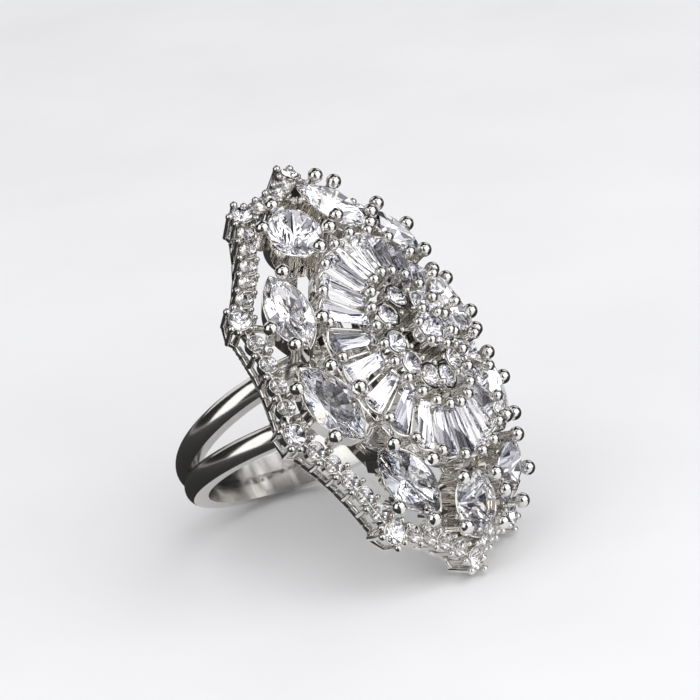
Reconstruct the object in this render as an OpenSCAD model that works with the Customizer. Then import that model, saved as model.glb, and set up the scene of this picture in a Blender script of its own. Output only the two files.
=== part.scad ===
// Statement ring: a domed oval head of set stones on a split shank.
// Head frame: x along the finger, y across the head, z out of the finger, with z = 0 at the border stones.
// The whole ring is then turned to lie on its side, on one tip of the head, the next corner and the shank.

/* [Shank] */
// Inner diameter of the finger hole
finger_d = 18; // [16:0.5:20]
// Thickness of each band at its crown
band_t = 1.7; // [1.4:0.1:2.2]
// Width of each band
band_w = 2; // [1.6:0.1:2.4]
// Distance from the centre of the finger hole up to the border stones
shank_drop = 11.65; // [11.3:0.05:12.4]
// Half the distance between the two bands beside the finger
band_spread = 1.65; // [1.4:0.05:1.8]
// Angle that each band leans away from the other towards the head
band_lean = 6.6; // [5:0.1:7.5]

/* [Border] */
// Distance from the middle of the head to a tip corner
tip_u = 18.6; // [18.3:0.1:18.9]
// Distance along the finger to a shoulder corner
shoulder_u = 15.1; // [14.8:0.1:15.4]
// Distance across the head to a shoulder corner
shoulder_v = 7.7; // [7.4:0.1:8]
// Distance along the finger to a side corner
side_u = 5.4; // [5.2:0.1:5.7]
// Distance across the head to a side corner
side_v = 12.8; // [12.7:0.1:13]
// How much the head falls away across the finger, for each square millimetre
crossfall = 0.0085; // [0.007:0.0005:0.009]
// How far each side bows inwards at its middle
side_bow = 0.6; // [0.3:0.1:0.8]
// Outward tilt of the border stones
border_tilt = 30; // [20:1:35]
// Diameter of a small border stone
melee_d = 1.36; // [1.2:0.02:1.4]
// Diameter of a corner stone
corner_d = 1.76; // [1.6:0.02:1.8]
// Depth of the open gallery below the border stones
gallery_h = 2; // [1.6:0.1:2.2]

/* [Marquise tier] */
// Height of the marquise girdles over the border
marquise_h = 2.6; // [2.4:0.05:2.8]
// Depth of each marquise basket
basket_depth = 2.2; // [2.1:0.1:2.3]
// Wall of each marquise basket
basket_wall = 0.3; // [0.25:0.05:0.35]
// Diameter of the ball on a marquise prong
marquise_ball_d = 1.2; // [1:0.05:1.3]

/* [Baguette tier] */
// Number of tapered baguettes
baguette_count = 22; // [22:1:22]
// Height of the baguette girdles over the border
baguette_h = 3.9; // [3.7:0.05:4]
// Length of a baguette
baguette_l = 4.1; // [3.8:0.1:4.2]
// Width of a baguette at its outer end
baguette_wide = 1.85; // [1.6:0.05:1.9]
// Width of a baguette at its inner end
baguette_narrow = 1; // [0.9:0.02:1]
// Diameter of the ball on a baguette prong
baguette_ball_d = 0.92; // [0.86:0.02:0.96]

/* [Cluster] */
// Height of the cluster stones over the border
cluster_h = 4.9; // [4.8:0.05:5.1]
// Diameter of a cluster stone
cluster_d = 1.85; // [1.7:0.05:1.85]
// Height of the centre stone over the border
centre_h = 6.3; // [6.1:0.1:6.5]
// Diameter of the centre stone
centre_d = 2.8; // [2.6:0.1:2.9]

/* [Resting pose] */
// Angle that the finger axis points below the horizontal
rest_lean = 47.52; // [47:0.01:48]
// Roll of the head about the finger axis
rest_roll = -25.94; // [-26.5:0.01:-25.5]
// Turn on the table
rest_heading = -63; // [-180:1:180]

/* [Hidden] */
$fn = 48;

finger_r = finger_d / 2;
band_r = finger_r + band_t;
// Play between a stone and its seat, and how far a cutter stands past what it cuts
seat_gap = 0.05;
over = 1;

// Shift of the laid down ring that puts the middle of its foot print at the origin
rest_shift = [3.445, -0.536, 15.212];

// The border lies a little further back along the finger than the centre stone
border_shift = -0.3;
side_shift = -0.6;

// Corners of the border: place, and the number of small stones up to the next corner
// [u, v, stones to the next corner]
CORNERS = [
    [-tip_u + border_shift, 0, 4],
    [-shoulder_u + border_shift, -shoulder_v, 5],
    [-side_u + side_shift, -side_v, 4],
    [side_u + side_shift, -side_v, 5],
    [shoulder_u + border_shift, -shoulder_v, 4],
    [tip_u + border_shift, 0, 4],
    [shoulder_u + border_shift, shoulder_v, 5],
    [side_u + side_shift, side_v, 4],
    [-side_u + side_shift, side_v, 5],
    [-shoulder_u + border_shift, shoulder_v, 4]];

// Marquise stones, round the head from the upper tip
// [u, v, outward tilt, turn in its own plane, length, width, pointed ends, prong set]
MARQUISES = [
    [-14.15, -0.05, 14, 42, 7.2, 4.1, true, 0],
    [-11.8, -6, 34, -22, 6.5, 4.7, false, 1],
    [-4.7, -10.45, 38, -14, 7.7, 3.8, true, 2],
    [3.8, -10.5, 35, -9, 7.8, 3.9, true, 3],
    [11.6, -6.5, 38, 11, 7.8, 3.9, true, 4],
    [14.4, -0.3, 25, 88, 5.8, 4.8, false, 5],
    [12, 6, 28, -12, 7.3, 3.8, true, 6],
    [4.3, 10, 26, 0, 7.5, 3.8, true, 6],
    [-4.5, 10, 24, 0, 7.5, 3.8, true, 6],
    [-11.6, 6.3, 20, 4, 7.1, 3.8, true, 6]];

// Prong places on a marquise, one row for each set
// [[part of the half length, side], ...]
PRONG_SETS = [
    [[0.6, -1], [-0.9, 1], [0.1, -1], [0, 1]],
    [[-0.85, -1], [0.15, -1], [0.85, 1], [0, 1]],
    [[-0.88, 1], [0.3, -1], [0.86, -1], [0.48, 1]],
    [[-0.7, -1], [0.55, -1], [0.12, 1], [-0.6, 1]],
    [[-0.88, 1], [0.1, -1], [0.88, -1], [0, 1]],
    [[-0.75, -1], [-0.75, 1], [0.62, -1], [0.66, 1]],
    [[-0.84, 1], [0.84, 1], [-0.4, -1], [0.55, -1]]];

// Cluster stones: their angles round the centre
CLUSTER_ANGLES = [190, 236, 275, 307, 339, 14, 54, 97, 143];
cluster_a = 3.95;
cluster_b = 3.38;
cluster_tilt = 8;

// Half axes of the baguette ring at the stones' middles, and the angle of the first stone
baguette_a = 8.55;
baguette_b = 6.75;
baguette_first = 3;

// Height lost at a distance across the finger
function fall(v) = crossfall * v * v;

// The row of stones that a corner starts: its ends, and the frame of its tilted plane
function next(i) = (i + 1) % len(CORNERS);
function corner_at(i) = [CORNERS[i][0], CORNERS[i][1]];
function corner_place(i) = [CORNERS[i][0], CORNERS[i][1], -fall(CORNERS[i][1])];
function side_vector(i) = corner_at(next(i)) - corner_at(i);
function side_rise(i) = corner_place(next(i))[2] - corner_place(i)[2];
function side_slope(i) = atan2(side_rise(i), norm(side_vector(i)));
function side_length(i) = norm(corner_place(next(i)) - corner_place(i));
function side_angle(i) = atan2(side_vector(i)[1], side_vector(i)[0]);
// Distance between small stones; a corner stone stands further off by the factor corner_room
corner_room = 1.18;
function side_pitch(i) = side_length(i) / (CORNERS[i][2] - 1 + 2 * corner_room);
// Distance of small stone k from the middle of its side, and the inward bow at a distance x
function along(i, k) = (k - (CORNERS[i][2] + 1) / 2) * side_pitch(i);
function bow(i, x) = side_bow * cos(180 * x / side_length(i));
function row_point(i, x, out = 0) = [x, bow(i, x) - out];
// Stops along a side: its two ends, drawn in by a distance, and its stones between them
function stop(i, k, draw) =
    k == 0 ? draw - side_length(i) / 2 : k > CORNERS[i][2] ? side_length(i) / 2 - draw : along(i, k);
// Outward direction at a corner: the bisector of its two sides
function corner_angle(i) = side_angle(i) - 90 - turn_at(i) / 2;
function turn_at(i) = wrap(side_angle(i) - side_angle((i + 9) % 10));
function wrap(a) = a > 180 ? a - 360 : a < -180 ? a + 360 : a;

// Points of an oval, seen from above
function oval(a, b, n) = [for (i = [0:n - 1]) [a * cos(360 * i / n), b * sin(360 * i / n)]];
// Placing: the frame of a tilted stone, with local x outwards and local z out of its table
module at_stone(u, v, h, direction, tilt) {
    translate([u, v, h]) rotate([0, 0, direction]) rotate([0, tilt, 0]) children();
}

// The tilted plane of a side of the border, with local x along the side and local -y outwards
module on_side(i) {
    mid = (corner_place(i) + corner_place(next(i))) / 2;
    translate(mid) rotate([0, 0, side_angle(i)]) rotate([0, -side_slope(i), 0])
        rotate([border_tilt, 0, 0]) children();
}

module on_corner(i) {
    c = corner_place(i);
    at_stone(c[0], c[1], c[2], corner_angle(i), border_tilt) children();
}

// A marquise leans away from the middle, more across the head than along it
cross_lean = 1.5;
module on_marquise(m) {
    at_stone(m[0], m[1], marquise_h - fall(m[1]), atan2(cross_lean * m[1], m[0]), m[2])
        rotate([0, 0, 90 - m[3]]) children();
}

function baguette_angle(i) = baguette_first + 360 * i / baguette_count;
// Outward tilt of a baguette: least at the tips of the head, most at its sides
function baguette_tilt(t) = 7 + 9 * abs(sin(t));
function baguette_heading(t) = atan2(baguette_b * sin(t), baguette_a * cos(t));
module on_baguette_ring(t) {
    v = baguette_b * sin(t);
    at_stone(baguette_a * cos(t), v, baguette_h - fall(v), baguette_heading(t), baguette_tilt(t)) children();
}

module on_cluster(t) {
    at_stone(cluster_a * cos(t), cluster_b * sin(t), cluster_h, t, cluster_tilt) children();
}

// The head frame laid down in its resting pose
module lie_down() {
    translate(rest_shift) rotate([0, 0, rest_heading]) rotate([0, rest_lean, 0])
        rotate([rest_roll, 0, 0]) children();
}

// Outline point at angle t for a stone of half length a and half width b; pointed if lens is true
function lens_r(a, b) = (a * a + b * b) / (2 * b);
function lens_y(a, b, x) = sqrt(pow(lens_r(a, b), 2) - x * x) - lens_r(a, b) + b;
function rim(a, b, lens, t) =
    lens ? [a * cos(t), sign(sin(t)) * max(0, lens_y(a, b, a * cos(t)))] : [a * cos(t), b * sin(t)];
// A ring of n points at height z, as large as a part of the outline
function ring_points(a, b, lens, part, n, shift, z) =
    [for (i = [0:n - 1]) let (p = rim(a * part, b * part, lens, 360 * (i + shift) / n)) [p[0], p[1], z]];

// Brilliant cut: a table, stars, kites and halves over the girdle, mains and halves under it
// The stars end at a part of the way out from the table, and the lower halves at a part of the outline
star = 0.55;
star_h = 0.52;
low = 0.24;
low_depth = 0.8;
module brilliant(a, b, lens, crown, girdle, pavilion, table) {
    points = concat(
        ring_points(a, b, lens, table, 8, 0, girdle + crown),
        ring_points(a, b, lens, table + (1 - table) * star, 8, 0.5, girdle + crown * star_h),
        ring_points(a, b, lens, 1, 16, 0, girdle),
        ring_points(a, b, lens, 1, 16, 0, 0),
        ring_points(a, b, lens, low, 8, 0.5, -pavilion * low_depth),
        [[0, 0, -pavilion]]);
    table_face = [[for (i = [0:7]) 7 - i]];
    stars = [for (i = [0:7]) [i, (i + 1) % 8, 8 + i]];
    kites_a = [for (i = [0:7]) [i, 8 + i, 16 + 2 * i]];
    kites_b = [for (i = [0:7]) [i, 16 + 2 * i, 8 + (i + 7) % 8]];
    halves_a = [for (i = [0:7]) [8 + i, 17 + 2 * i, 16 + 2 * i]];
    halves_b = [for (i = [0:7]) [8 + i, 16 + (2 * i + 2) % 16, 17 + 2 * i]];
    belt_a = [for (i = [0:15]) [16 + i, 16 + (i + 1) % 16, 32 + i]];
    belt_b = [for (i = [0:15]) [16 + (i + 1) % 16, 32 + (i + 1) % 16, 32 + i]];
    lower_a = [for (i = [0:7]) [48 + i, 32 + 2 * i, 33 + 2 * i]];
    lower_b = [for (i = [0:7]) [48 + i, 33 + 2 * i, 32 + (2 * i + 2) % 16]];
    mains_a = [for (i = [0:7]) [48 + i, 56, 32 + 2 * i]];
    mains_b = [for (i = [0:7]) [56, 48 + (i + 7) % 8, 32 + 2 * i]];
    polyhedron(points, concat(table_face, stars, kites_a, kites_b, halves_a, halves_b,
        belt_a, belt_b, lower_a, lower_b, mains_a, mains_b), convexity = 4);
}

// Proportions of the cuts, as parts of the width: [crown, girdle, pavilion, table]
ROUND_CUT = [0.16, 0.03, 0.42, 0.56];
LONG_CUT = [0.19, 0.035, 0.42, 0.58];
module cut_stone(l, w, pointed, cut) {
    color("aliceblue") brilliant(l / 2, w / 2, pointed, w * cut[0], w * cut[1], w * cut[2], cut[3]);
}

module round_stone(d) {
    cut_stone(d, d, false, ROUND_CUT);
}

// Step cut: a tapered table, two steps down to the girdle, and a keel below
// The keel's depth, and its ends as parts of the half length outwards and inwards
keel_depth = 0.85;
keel_out = 0.55;
keel_in = 0.7;
module baguette_stone() {
    l = baguette_l / 2;
    wo = baguette_wide / 2;
    wi = baguette_narrow / 2;
    // [inset from the girdle outline, height]
    rows = [[0.3, 0.36], [0.13, 0.22], [0, 0.06], [0, 0]];
    function row(r) = [
        [l - r[0], -(wo - r[0]), r[1]],
        [l - r[0], wo - r[0], r[1]],
        [-(l - r[0]), wi - r[0], r[1]],
        [-(l - r[0]), -(wi - r[0]), r[1]]];
    points = concat(row(rows[0]), row(rows[1]), row(rows[2]), row(rows[3]),
        [[l * keel_out, 0, -keel_depth], [-l * keel_in, 0, -keel_depth]]);
    belts = [for (k = [0:2]) for (i = [0:3]) for (h = [0, 1])
        let (a = 4 * k + i, b = 4 * k + (i + 1) % 4)
        h == 0 ? [a, b, a + 4] : [b, b + 4, a + 4]];
    keel = [[12, 13, 16], [13, 14, 17], [13, 17, 16], [14, 15, 17], [15, 12, 16], [15, 16, 17]];
    color("aliceblue") polyhedron(points, concat([[3, 2, 1, 0]], belts, keel), convexity = 4);
}

// Shank: two crowned bands that lean apart towards the head and merge behind the finger
crown_r = 1.35;
// Stock inside the bands that the finger hole takes away, and the seam inside where the bands meet
inner_stock = 0.4;
hole_length = 18;
seam_w = 0.2;
seam_depth = 0.25;
module band() {
    rotate([0, 90, 0]) rotate_extrude() intersection() {
        translate([finger_r - inner_stock, -band_w / 2]) square([band_t + inner_stock, band_w]);
        translate([band_r - crown_r, 0]) circle(crown_r);
    }
}

module finger_hole() {
    translate([0, 0, -shank_drop]) rotate([0, 90, 0]) {
        cylinder(h = hole_length, r = finger_r, center = true);
        cylinder(h = seam_w, r = finger_r + seam_depth, center = true);
    }
}

module shank() {
    for (s = [-1, 1])
        translate([s * band_spread, 0, -shank_drop]) rotate([0, s * band_lean, 0]) band();
}

// Border: a bowed strip with a hole under each stone, beads between the stones, and a rail below
collet_wall = 0.2;
collet_h = 0.9;
strip_w = 2;
// Distance from a corner at which the strip starts, inside the corner collet's wall
row_start = 1;
bead_r = 0.24;
bead_out = 0.72;
bead_z = 0.08;
// Wires under the outer beads, from foot to head, and the lower rail that they stand in
wire_r = 0.2;
wire_foot = -gallery_h - 0.1;
wire_head = 0.05;
rail_w = 0.6;
rail_h = 0.5;
rail_foot = -gallery_h - 0.4;

// Outline of a strip of width w along a side, drawn in from the corners and moved outwards
module strip_2d(i, draw, out, w) {
    n = CORNERS[i][2];
    polygon(concat(
        [for (k = [0:n + 1]) row_point(i, stop(i, k, draw), out + w / 2)],
        [for (k = [n + 1:-1:0]) row_point(i, stop(i, k, draw), out - w / 2)]));
}

module border_row(i) {
    n = CORNERS[i][2];
    translate([0, 0, -collet_h]) linear_extrude(collet_h) difference() {
        strip_2d(i, row_start, 0, strip_w);
        for (k = [1:n]) translate(row_point(i, along(i, k))) circle(melee_d / 2 + seat_gap);
    }
    for (k = [1:n - 1]) {
        x = (along(i, k) + along(i, k + 1)) / 2;
        for (s = [-1, 1]) translate([x, bow(i, x) + s * bead_out, bead_z]) sphere(bead_r);
        translate([x, bow(i, x) - bead_out, wire_foot]) cylinder(h = wire_head - wire_foot, r = wire_r);
    }
    translate([0, 0, rail_foot]) linear_extrude(rail_h) strip_2d(i, 0, bead_out, rail_w);
}

// Corner of the border: a larger collet, two outer beads on wires down to the rail and one inner bead
corner_bead_r = 0.26;
corner_bead_out = 0.36;
corner_wire_r = 0.24;
// [direction, seen from the outward one, length of the wire under the bead]
CORNER_BEADS = [[-42, gallery_h + 0.4], [42, gallery_h + 0.4], [180, 0.7]];
module corner_collet() {
    r = corner_d / 2;
    translate([0, 0, -collet_h]) difference() {
        cylinder(h = collet_h, r = r + collet_wall);
        translate([0, 0, -over]) cylinder(h = collet_h + 2 * over, r = r + seat_gap);
    }
    for (b = CORNER_BEADS) rotate([0, 0, b[0]]) translate([r + corner_bead_out, 0, bead_z]) {
        sphere(corner_bead_r);
        translate([0, 0, -b[1]]) cylinder(h = b[1], r = corner_wire_r);
    }
}

module border() {
    for (i = [0:9]) {
        on_side(i) border_row(i);
        on_corner(i) corner_collet();
    }
}

// Marquise basket: a lens-shaped wall with four ball prongs
basket_points = 40;
module lens_2d(l, w, grow) {
    r = lens_r(l / 2, w / 2);
    intersection() {
        translate([0, r - w / 2]) circle(r + grow);
        translate([0, w / 2 - r]) circle(r + grow);
    }
}

module outline_2d(l, w, pointed, grow) {
    if (pointed) lens_2d(l, w, grow);
    else polygon(oval(l / 2 + grow, w / 2 + grow, basket_points));
}

function half_width(l, w, pointed, x) =
    pointed ? lens_y(l / 2, w / 2, x) : w / 2 * sqrt(1 - pow(2 * x / l, 2));

// Marquise prongs: radius, distance from the stone, foot and head of the wire, and height of the ball
prong_r = 0.34;
prong_gap = 0.14;
prong_foot = -0.9;
prong_head = 0.8;
ball_h = 0.78;
module basket(l, w, pointed, prongs) {
    translate([0, 0, -basket_depth]) linear_extrude(basket_depth) difference() {
        outline_2d(l, w, pointed, basket_wall + seat_gap);
        outline_2d(l, w, pointed, seat_gap);
    }
    for (p = prongs) {
        x = p[0] * l / 2;
        y = half_width(l, w, pointed, x) + prong_r + prong_gap;
        translate([x, p[1] * y, 0]) {
            translate([0, 0, prong_foot]) cylinder(h = prong_head - prong_foot, r = prong_r);
            translate([0, 0, ball_h]) sphere(marquise_ball_d / 2);
        }
    }
}

module baskets() {
    for (m = MARQUISES) on_marquise(m) basket(m[4], m[5], m[6], PRONG_SETS[m[7]]);
}

// Baguette tier: rails under both ends, a thin wall and two ball prongs between neighbours
wall_t = 0.18;
wall_foot = -1.3;
wall_h = 1.1;
wall_past = 0.1;
// Posts of the ball prongs: radius, foot, length, ball's height, and places past the inner and outer ends
post_r = 0.22;
post_foot = -1.6;
post_l = 2.1;
post_ball_h = 0.6;
post_past_in = 0.2;
post_past_out = 0.1;
module baguette_wall() {
    l = baguette_l;
    translate([-l / 2 - wall_past, -wall_t / 2, wall_foot]) cube([l + 2 * wall_past, wall_t, wall_h]);
    for (x = [-l / 2 - post_past_in, l / 2 + post_past_out]) translate([x, 0, 0]) {
        translate([0, 0, post_foot]) cylinder(h = post_l, r = post_r);
        translate([0, 0, post_ball_h]) sphere(baguette_ball_d / 2);
    }
}

oval_points = 44;
module oval_rail(a, b, w, z, h) {
    translate([0, 0, z]) linear_extrude(h) difference() {
        polygon(oval(a + w / 2, b + w / 2, oval_points));
        polygon(oval(a - w / 2, b - w / 2, oval_points));
    }
}

// Rails under the outer and inner ends: [half length, half width, rail width, foot, height]
BAGUETTE_RAILS = [
    [baguette_a + 1.8, baguette_b + 1.6, 0.7, 1.5, 0.8],
    [baguette_a - 2.2, baguette_b - 2.2, 0.7, 2.2, 0.9]];
module baguette_frame() {
    for (i = [0:baguette_count - 1]) on_baguette_ring(baguette_angle(i + 0.5)) baguette_wall();
    for (r = BAGUETTE_RAILS) oval_rail(r[0], r[1], r[2], r[3], r[4]);
}

// Cluster: a ring of collets with beads between them round the raised collet of the centre stone
cluster_wall = 0.3;
cluster_collet_h = 1.2;
seat_cut = 4;
module cluster_collets() {
    r = cluster_d / 2;
    difference() {
        union() {
            for (t = CLUSTER_ANGLES) on_cluster(t)
                translate([0, 0, -cluster_collet_h]) cylinder(h = cluster_collet_h, r = r + cluster_wall);
            cluster_beads();
        }
        for (t = CLUSTER_ANGLES) on_cluster(t)
            translate([0, 0, -cluster_collet_h - over]) cylinder(h = seat_cut, r = r + seat_gap);
    }
}

// Beads stand inside and outside the ring of stones, at these parts of its half axes
BEAD_RINGS = [0.66, 1.12];
cluster_bead_r = 0.36;
cluster_post_r = 0.26;
cluster_post_l = 1.3;
cluster_bead_h = 0.15;
module cluster_beads() {
    count = len(CLUSTER_ANGLES);
    for (k = [0:count - 1]) {
        gap = (CLUSTER_ANGLES[(k + 1) % count] - CLUSTER_ANGLES[k] + 360) % 360;
        t = CLUSTER_ANGLES[k] + gap / 2;
        for (g = BEAD_RINGS) translate([g * cluster_a * cos(t), g * cluster_b * sin(t), cluster_h]) {
            translate([0, 0, -cluster_collet_h]) cylinder(h = cluster_post_l, r = cluster_post_r);
            translate([0, 0, cluster_bead_h]) sphere(cluster_bead_r);
        }
    }
}

// Plate under the cluster, with a hole under each stone
plate_a = 4.75;
plate_b = 4.25;
plate_t = 0.8;
plate_drop = 1.9;
plate_hole_in = 0.2;
centre_hole_in = 0.4;
module cluster_plate() {
    difference() {
        translate([0, 0, cluster_h - plate_drop]) linear_extrude(plate_t)
            polygon(oval(plate_a, plate_b, oval_points));
        for (t = CLUSTER_ANGLES) on_cluster(t)
            translate([0, 0, over - seat_cut]) cylinder(h = seat_cut, r = cluster_d / 2 - plate_hole_in);
        cylinder(h = cluster_h, r = centre_d / 2 - centre_hole_in);
    }
}

// Centre: a flared collet from its foot up to the girdle, its seat, and six ball prongs round it
centre_foot = cluster_h - 1.3;
centre_flare_in = 0.1;
centre_flare_out = 0.3;
centre_seat_h = 1.2;
centre_prong_r = 0.26;
centre_prong_out = 0.36;
centre_prong_head = 0.2;
centre_ball_r = 0.38;
centre_ball_h = 0.3;
module centre_collet() {
    r = centre_d / 2;
    difference() {
        translate([0, 0, centre_foot])
            cylinder(h = centre_h - centre_foot, r1 = r - centre_flare_in, r2 = r + centre_flare_out);
        translate([0, 0, centre_foot - over]) cylinder(h = centre_h, r = r - centre_hole_in);
        translate([0, 0, centre_h - centre_seat_h]) cylinder(h = centre_seat_h + over, r = r + seat_gap);
    }
    for (t = [15:60:345]) rotate([0, 0, t]) translate([r + centre_prong_out, 0, 0]) {
        translate([0, 0, centre_foot])
            cylinder(h = centre_h + centre_prong_head - centre_foot, r = centre_prong_r);
        translate([0, 0, centre_h + centre_ball_h]) sphere(centre_ball_r);
    }
}

module cluster() {
    cluster_collets();
    cluster_plate();
    centre_collet();
}

// A square bar of side w between two points in space
module strut(p, q, w) {
    d = q - p;
    translate(p) rotate([0, 0, atan2(d[1], d[0])]) rotate([0, -atan2(d[2], norm([d[0], d[1]])), 0])
        translate([0, -w / 2, -w / 2]) cube([norm(d), w, w]);
}

// Under frame: an oval rail under the baskets, beams over the bands, runners along the head and pillars
frame_a = 12.4;
frame_b = 9;
frame_w = 1.1;
frame_foot = -0.8;
frame_h = 1.3;
beam_u = 2.95;
beam_w = 1.2;
beam_foot = -1.8;
beam_h = 1.5;
runner_v = 2.4;
runner_w = 0.9;
runner_foot = -1.1;
runner_h = 0.8;
pillar_r = 0.5;
pillar_h = 4.4;
// Struts out to the corners, up to a part of the way and below the collets, and in to the baguette rail
strut_w = 0.6;
strut_reach = 0.95;
strut_drop = 0.75;
strut_foot = -0.4;
riser_foot = -0.2;
riser_head = 1.7;
riser_in = [1.7, 1.5];
module under_frame() {
    oval_rail(frame_a, frame_b, frame_w, frame_foot, frame_h);
    for (s = [-1, 1]) {
        translate([s * beam_u - beam_w / 2, -frame_b, beam_foot]) cube([beam_w, 2 * frame_b, beam_h]);
        translate([-frame_a, s * runner_v - runner_w / 2, runner_foot])
            cube([2 * frame_a, runner_w, runner_h]);
        for (q = [-1, 1]) translate([s * beam_u, q * runner_v, frame_foot])
            cylinder(h = pillar_h, r = pillar_r);
    }
    for (i = [0:9]) {
        a = atan2(CORNERS[i][1] / frame_b, CORNERS[i][0] / frame_a);
        c = corner_place(i);
        strut([frame_a * cos(a), frame_b * sin(a), strut_foot],
            [c[0] * strut_reach, c[1] * strut_reach, c[2] - strut_drop], strut_w);
    }
    for (i = [0:2:baguette_count - 1]) {
        t = baguette_angle(i + 0.5);
        inner = [(baguette_a + riser_in[0]) * cos(t), (baguette_b + riser_in[1]) * sin(t), riser_head];
        outer = [frame_a * cos(t), frame_b * sin(t), riser_foot];
        strut(inner, outer, strut_w);
    }
}

module ring_mount() {
    color("silver") lie_down() difference() {
        union() {
            shank();
            border();
            baskets();
            baguette_frame();
            cluster();
            under_frame();
        }
        finger_hole();
    }
}

// The border stones' girdles stand a little above the border's plane
border_lift = 0.05;
module border_stones() {
    lie_down() {
        for (i = [0:9]) on_side(i) for (k = [1:CORNERS[i][2]])
            translate([along(i, k), bow(i, along(i, k)), border_lift]) round_stone(melee_d);
        for (i = [0:9]) on_corner(i) translate([0, 0, border_lift]) round_stone(corner_d);
    }
}

module cluster_stones() {
    lie_down() for (t = CLUSTER_ANGLES) on_cluster(t) round_stone(cluster_d);
}

module centre_stone() {
    lie_down() translate([0, 0, centre_h]) round_stone(centre_d);
}

module marquise(i) {
    m = MARQUISES[i];
    lie_down() on_marquise(m) cut_stone(m[4], m[5], m[6], LONG_CUT);
}

module baguette(i) {
    lie_down() on_baguette_ring(baguette_angle(i)) baguette_stone();
}

ring_mount();
border_stones();
cluster_stones();
centre_stone();
for (i = [1:10]) marquise(i - 1);
for (i = [1:baguette_count]) baguette(i - 1);
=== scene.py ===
"""Statement ring: polished metalwork and cut stones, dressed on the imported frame.

Pieces are modelled in millimetres in the head's own frame, with u along the finger, v across the head and
n out of the finger. They are then laid down in the resting pose, in metres.
"""
from collections import namedtuple
from math import atan2, cos, degrees, hypot, pi, radians, sin, sqrt

import bpy
from mathutils import Matrix, Vector


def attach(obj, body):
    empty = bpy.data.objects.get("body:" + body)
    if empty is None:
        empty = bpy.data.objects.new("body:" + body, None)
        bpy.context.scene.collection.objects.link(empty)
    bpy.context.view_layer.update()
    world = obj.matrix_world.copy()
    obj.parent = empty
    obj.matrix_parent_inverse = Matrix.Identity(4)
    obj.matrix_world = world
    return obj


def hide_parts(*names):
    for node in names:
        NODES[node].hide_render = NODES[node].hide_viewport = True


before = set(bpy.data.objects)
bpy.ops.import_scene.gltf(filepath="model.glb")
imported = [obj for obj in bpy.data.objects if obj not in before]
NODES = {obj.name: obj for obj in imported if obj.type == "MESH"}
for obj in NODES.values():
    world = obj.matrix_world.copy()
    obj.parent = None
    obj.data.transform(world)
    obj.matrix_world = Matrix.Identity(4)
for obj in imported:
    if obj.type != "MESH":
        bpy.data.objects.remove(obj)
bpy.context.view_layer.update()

MM = 0.001

# Shank: the finger hole and its middle below the head, and the section, places and lean of the two bands
FINGER_R = 9
SHANK_DROP = 11.65
BAND_T, BAND_W, BAND_CROWN = 1.7, 2, 1.35
BAND_SPREAD, BAND_LEAN = 1.65, 6.6
SHANK_STEPS, SECTION_SIDES = 160, 72
SHANK_EDGE = 0.1
# Metal left inside the finger hole until it is cut, and the length of the cutter
BORE_SPARE, CUTTER_L = 0.4, 24

# Border of small round stones: its corners, the sheet that it lies on, and how its sides bow and tilt
TIP_U, SHOULDER_U, SHOULDER_V, SIDE_U, SIDE_V = 18.6, 15.1, 7.7, 5.4, 12.8
BORDER_SHIFT, SIDE_SHIFT = -0.3, -0.6
CROSSFALL = 0.0085
SIDE_BOW, BORDER_TILT = 0.6, 30
MELEE_D, CORNER_D = 1.36, 1.76
# Room kept for a corner stone, in pitches, and the distance from it to the last pair of beads
CORNER_ROOM, CORNER_BEAD = 1.18, 1.1
# Collets: the gap round a stone, the wall to its outside, the height and the softening of the rims
RIM_GAP, RIM_WALL, COLLET_H, RIM_EDGE = 0.01, 0.13, 0.9, 0.05
# Beads and claws: distances from the row and from a corner stone's middle, and the turn to each side of it
GALLERY_H = 2
BEAD_OUT, BEAD_Z = 0.72, 0.08
CLAW_OUT, CLAW_TURN = CORNER_D / 2 + 0.36, 42
# Bars under the collets: how far they start from a corner, and their height
ROW_DRAW, ROW_Z = 1, -0.5
# Lower rail: the same, its links to the feet of the corner claws, and the teeth along it
RAIL_DRAW, RAIL_Z = 1.4, -GALLERY_H - 0.15
LINK_OUT, LINK_Z = CLAW_OUT - 0.03, -GALLERY_H - 0.06
TOOTH_R, TOOTH_STRETCH, TOOTH_PITCH = 0.17, 1.3, 0.46
TOOTH_OUT, TOOTH_Z = BEAD_OUT + 0.12, RAIL_Z - 0.2
# Corners of the border: u, v and the number of small stones up to the next corner
CORNERS = [
    (-TIP_U + BORDER_SHIFT, 0, 4),
    (-SHOULDER_U + BORDER_SHIFT, -SHOULDER_V, 5),
    (-SIDE_U + SIDE_SHIFT, -SIDE_V, 4),
    (SIDE_U + SIDE_SHIFT, -SIDE_V, 5),
    (SHOULDER_U + BORDER_SHIFT, -SHOULDER_V, 4),
    (TIP_U + BORDER_SHIFT, 0, 4),
    (SHOULDER_U + BORDER_SHIFT, SHOULDER_V, 5),
    (SIDE_U + SIDE_SHIFT, SIDE_V, 4),
    (-SIDE_U + SIDE_SHIFT, SIDE_V, 5),
    (-SHOULDER_U + BORDER_SHIFT, SHOULDER_V, 4),
]

# Gap between the stones of the upper tiers and their seats
SEAT_GAP = 0.05

# Marquise tier: its height, and how much longer than wide the oval is that its stones lean out from
MARQUISE_H, HEAD_OVAL = 2.6, 1.5
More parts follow.
